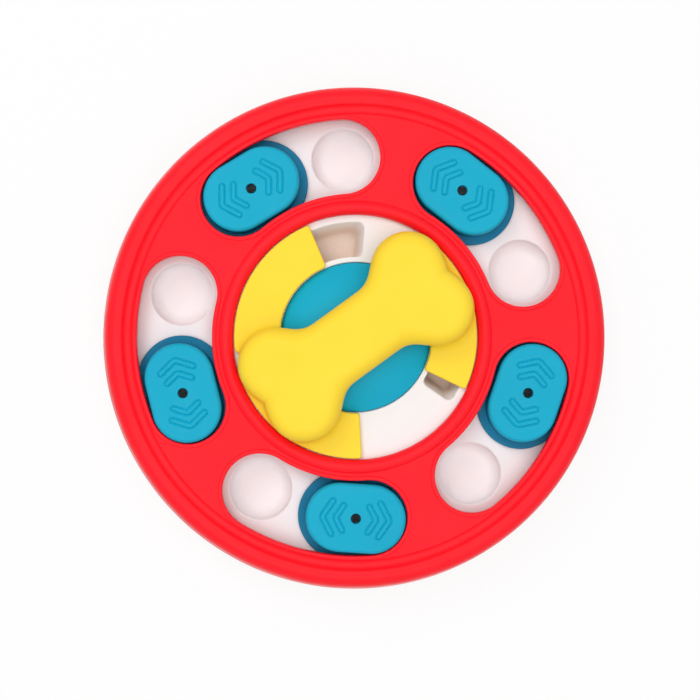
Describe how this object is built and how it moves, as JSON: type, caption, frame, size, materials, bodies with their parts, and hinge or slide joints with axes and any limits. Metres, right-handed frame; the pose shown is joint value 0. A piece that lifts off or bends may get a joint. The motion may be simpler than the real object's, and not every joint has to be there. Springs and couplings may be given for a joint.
{
  "type": "dog puzzle feeder toy",
  "caption": "Round treat puzzle for dogs: sliders in curved slots cover treat bowls, and a rotor with a bone-shaped handle covers pockets in the middle.",
  "frame": {"origin": "centre of the toy at the floor under its feet", "axes": "+Z up along the rotor's axis; in the picture +Y points up and +X to the right"},
  "size_m": [0.25, 0.25, 0.042],
  "materials": {
    "cover_red": "satin moulded ABS",
    "slider_blue": "satin moulded ABS",
    "tray_white": "satin moulded ABS, slightly warm",
    "rotor_yellow": "satin moulded ABS",
    "foot_rubber": "soft matt rubber",
    "screw_steel": "zinc plated"
  },
  "bodies": {
    "frame": {"cover": "cover_red", "guide_1": "cover_red", "guide_2": "cover_red", "guide_3": "cover_red", "guide_4": "cover_red", "guide_5": "cover_red", "base": "tray_white", "dish_1": "tray_white", "dish_2": "tray_white", "dish_3": "tray_white", "dish_4": "tray_white", "dish_5": "tray_white", "drum": "tray_white", "dome": "slider_blue", "cover_screws": "screw_steel", "foot_1": "foot_rubber", "foot_2": "foot_rubber", "foot_3": "foot_rubber", "foot_4": "foot_rubber", "foot_5": "foot_rubber"},
    "slider_1": {"slider_1": "slider_blue"},
    "slider_2": {"slider_2": "slider_blue"},
    "slider_3": {"slider_3": "slider_blue"},
    "slider_4": {"slider_4": "slider_blue"},
    "slider_5": {"slider_5": "slider_blue"},
    "rotor": {"rotor_wings": "rotor_yellow", "bone_handle": "rotor_yellow", "spindle": "rotor_yellow", "pivot_washer": "screw_steel", "pivot_screw": "screw_steel"}
  },
  "joints": [
    {"name": "slider_1_sweep", "type": "hinge", "parent": "frame", "child": "slider_1", "pos_m": [0, 0, 0.0165], "axis": [0, 0, 1], "range_deg": [-26.68, 0.79]},
    {"name": "slider_2_sweep", "type": "hinge", "parent": "frame", "child": "slider_2", "pos_m": [0, 0, 0.0165], "axis": [0, 0, 1], "range_deg": [-27.47, 0]},
    {"name": "slider_3_sweep", "type": "hinge", "parent": "frame", "child": "slider_3", "pos_m": [0, 0, 0.0165], "axis": [0, 0, 1], "range_deg": [-27.47, 0]},
    {"name": "slider_4_sweep", "type": "hinge", "parent": "frame", "child": "slider_4", "pos_m": [0, 0, 0.0165], "axis": [0, 0, 1], "range_deg": [-27.47, 0]},
    {"name": "slider_5_sweep", "type": "hinge", "parent": "frame", "child": "slider_5", "pos_m": [0, 0, 0.0165], "axis": [0, 0, 1], "range_deg": [-27.47, 0]},
    {"name": "rotor_spin", "type": "hinge", "parent": "frame", "child": "rotor", "pos_m": [0, 0, 0.02], "axis": [0, 0, 1], "continuous": true}
  ]
}
